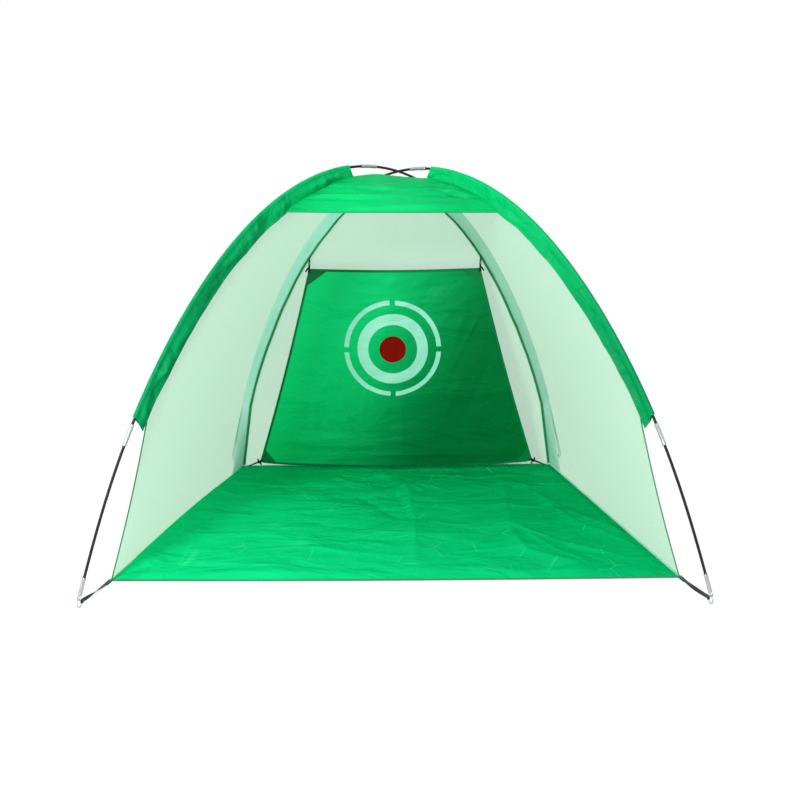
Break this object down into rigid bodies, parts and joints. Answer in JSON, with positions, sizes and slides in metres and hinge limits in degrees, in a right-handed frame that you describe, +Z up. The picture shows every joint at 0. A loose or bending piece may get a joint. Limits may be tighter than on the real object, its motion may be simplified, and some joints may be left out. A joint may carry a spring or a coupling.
{
  "type": "golf chipping net",
  "caption": "Tent-shaped golf practice net: crossed sprung poles, sleeved netting walls, a floor sheet and a leaning target cloth hung on hooks.",
  "frame": {"origin": "on the ground at the centre of the footprint", "axes": "+Z up; the net opens to -Y; +X is to the right of someone who looks into the opening"},
  "size_m": [2.0817, 1.6828, 1.4311],
  "materials": {
    "fibreglass": "satin",
    "plated_steel": "satin",
    "elastic_cord": "matte",
    "webbing": "matte",
    "green_oxford": "matte",
    "bright_oxford": "matte",
    "target_oxford": "matte",
    "netting": "matte",
    "black_wire": "satin"
  },
  "bodies": {
    "net": {"left_pole_rod_1": "fibreglass", "left_pole_rod_2": "fibreglass", "left_pole_rod_3": "fibreglass", "left_pole_rod_4": "fibreglass", "left_pole_rod_5": "fibreglass", "left_pole_rod_6": "fibreglass", "left_pole_ferrule_1": "plated_steel", "left_pole_ferrule_2": "plated_steel", "left_pole_ferrule_3": "plated_steel", "left_pole_ferrule_4": "plated_steel", "left_pole_ferrule_5": "plated_steel", "left_pole_shock_cord": "elastic_cord", "right_pole_rod_1": "fibreglass", "right_pole_rod_2": "fibreglass", "right_pole_rod_3": "fibreglass", "right_pole_rod_4": "fibreglass", "right_pole_rod_5": "fibreglass", "right_pole_rod_6": "fibreglass", "right_pole_ferrule_1": "plated_steel", "right_pole_ferrule_2": "plated_steel", "right_pole_ferrule_3": "plated_steel", "right_pole_ferrule_4": "plated_steel", "right_pole_ferrule_5": "plated_steel", "right_pole_shock_cord": "elastic_cord", "front_left_end_fitting": "plated_steel", "front_left_pin": "plated_steel", "front_left_strap": "webbing", "front_right_end_fitting": "plated_steel", "front_right_pin": "plated_steel", "front_right_strap": "webbing", "rear_left_end_fitting": "plated_steel", "rear_left_pin": "plated_steel", "rear_left_strap": "webbing", "rear_right_end_fitting": "plated_steel", "rear_right_pin": "plated_steel", "rear_right_strap": "webbing", "floor_sheet": "bright_oxford", "front_left_sleeve": "green_oxford", "front_right_sleeve": "green_oxford", "rear_left_sleeve": "green_oxford", "rear_right_sleeve": "green_oxford", "left_netting": "netting", "right_netting": "netting", "back_netting": "netting", "front_valance": "green_oxford", "rear_left_flap": "green_oxford", "rear_right_flap": "green_oxford", "upper_left_tie": "elastic_cord", "upper_right_tie": "elastic_cord", "lower_left_tie": "elastic_cord", "lower_right_tie": "elastic_cord"},
    "target": {"target_cloth": "target_oxford"},
    "upper_left_hook_body": {"upper_left_hook": "black_wire"},
    "upper_right_hook_body": {"upper_right_hook": "black_wire"},
    "lower_left_hook_body": {"lower_left_hook": "black_wire"},
    "lower_right_hook_body": {"lower_right_hook": "black_wire"},
    "front_left_ring_body": {"front_left_ring": "plated_steel"},
    "front_right_ring_body": {"front_right_ring": "plated_steel"},
    "rear_left_ring_body": {"rear_left_ring": "plated_steel"},
    "rear_right_ring_body": {"rear_right_ring": "plated_steel"}
  },
  "joints": [
    {"name": "target_swing", "type": "hinge", "parent": "net", "child": "target", "pos_m": [0, 0.39858, 1.01601], "axis": [1, 0, 0], "range_deg": [-2, 5], "stiffness_Nm_per_rad": 10, "springref_deg": 2.15, "deforming": ["upper_left_tie", "upper_right_tie", "lower_left_tie", "lower_right_tie"]},
    {"name": "upper_left_hook_swing", "type": "hinge", "parent": "target", "child": "upper_left_hook_body", "pos_m": [-0.37713, 0.39117, 1.00249], "axis": [0.9998, 0.0043, -0.0214], "range_deg": [-20, 20], "stiffness_Nm_per_rad": 0.03},
    {"name": "upper_right_hook_swing", "type": "hinge", "parent": "target", "child": "upper_right_hook_body", "pos_m": [0.37687, 0.39099, 1.00258], "axis": [0.9967, 0.0158, -0.0791], "range_deg": [-20, 20], "stiffness_Nm_per_rad": 0.03},
    {"name": "lower_left_hook_swing", "type": "hinge", "parent": "target", "child": "lower_left_hook_body", "pos_m": [-0.65815, 0.57785, 0.06725], "axis": [-0.6638, -0.1465, 0.7334], "range_deg": [-20, 20], "stiffness_Nm_per_rad": 0.03},
    {"name": "lower_right_hook_swing", "type": "hinge", "parent": "target", "child": "lower_right_hook_body", "pos_m": [0.65815, 0.57785, 0.06725], "axis": [-0.6638, 0.1465, -0.7334], "range_deg": [-20, 20], "stiffness_Nm_per_rad": 0.03},
    {"name": "front_left_ring_swing", "type": "hinge", "parent": "net", "child": "front_left_ring_body", "pos_m": [-1.03281, -0.82678, 0.03005], "axis": [0.1613, 0.9869, 0], "range_deg": [-5, 5]},
    {"name": "front_right_ring_swing", "type": "hinge", "parent": "net", "child": "front_right_ring_body", "pos_m": [1.03276, -0.82673, 0.03005], "axis": [-0.1611, 0.9869, 0], "range_deg": [-5, 5]},
    {"name": "rear_left_ring_swing", "type": "hinge", "parent": "net", "child": "rear_left_ring_body", "pos_m": [-0.84176, 0.82673, 0.03005], "axis": [0.5096, -0.8604, 0], "range_deg": [-5, 5]},
    {"name": "rear_right_ring_swing", "type": "hinge", "parent": "net", "child": "rear_right_ring_body", "pos_m": [0.84181, 0.82678, 0.03005], "axis": [-0.5097, -0.8604, 0], "range_deg": [-5, 5]}
  ]
}
